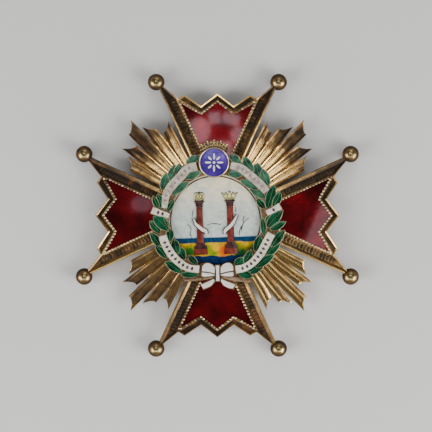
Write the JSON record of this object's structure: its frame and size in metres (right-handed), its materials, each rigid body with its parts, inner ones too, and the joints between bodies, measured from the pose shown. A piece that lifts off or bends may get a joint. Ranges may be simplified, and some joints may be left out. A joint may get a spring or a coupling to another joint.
{
  "type": "order insignia",
  "caption": "Gilt breast star with red enamel arms, fluted rays, ball tips and a medallion of crowned pillars by the sea in a green laurel wreath; plain pin behind.",
  "frame": {"origin": "middle of the star in plan, at the height of the surface that the balls and the pin's feet rest on", "axes": "+Z out of the star's face, +Y towards the top of the star, where the crown and the blue disc are"},
  "size_m": [0.0762, 0.0762, 0.009],
  "materials": {
    "gilt": "gilt silver with dark patina in the recesses",
    "red_enamel": "translucent red enamel over the gilt plate, glossy",
    "green_enamel": "translucent green enamel, glossy",
    "white_enamel": "opaque off-white enamel, glossy",
    "blue_enamel": "translucent blue enamel, glossy",
    "picture": "painted enamel scene, glossy"
  },
  "bodies": {
    "root": {"back_plate": "gilt", "brooch_pin": "gilt", "medallion_base": "gilt", "picture_disc": "picture", "wreath_plate": "gilt", "arm_top": "gilt", "arm_right": "gilt", "arm_bottom": "gilt", "arm_left": "gilt", "enamel_top": "red_enamel", "enamel_right": "red_enamel", "enamel_bottom": "red_enamel", "enamel_left": "red_enamel", "rays_ne": "gilt", "rays_nw": "gilt", "rays_sw": "gilt", "rays_se": "gilt", "leaves_top_left": "green_enamel", "leaves_left": "green_enamel", "leaves_bottom_left": "green_enamel", "leaves_top_right": "green_enamel", "leaves_right": "green_enamel", "leaves_bottom_right": "green_enamel", "ribbon_top_left": "white_enamel", "ribbon_left": "white_enamel", "ribbon_bottom_left": "white_enamel", "ribbon_top_right": "white_enamel", "ribbon_right": "white_enamel", "ribbon_bottom_right": "white_enamel", "bow_knot": "white_enamel", "bow_left_loop": "white_enamel", "bow_right_loop": "white_enamel", "bow_left_tail": "white_enamel", "bow_right_tail": "white_enamel", "stems": "gilt", "disc_setting": "gilt", "blue_disc": "blue_enamel", "crown": "gilt"}
  },
  "joints": []
}
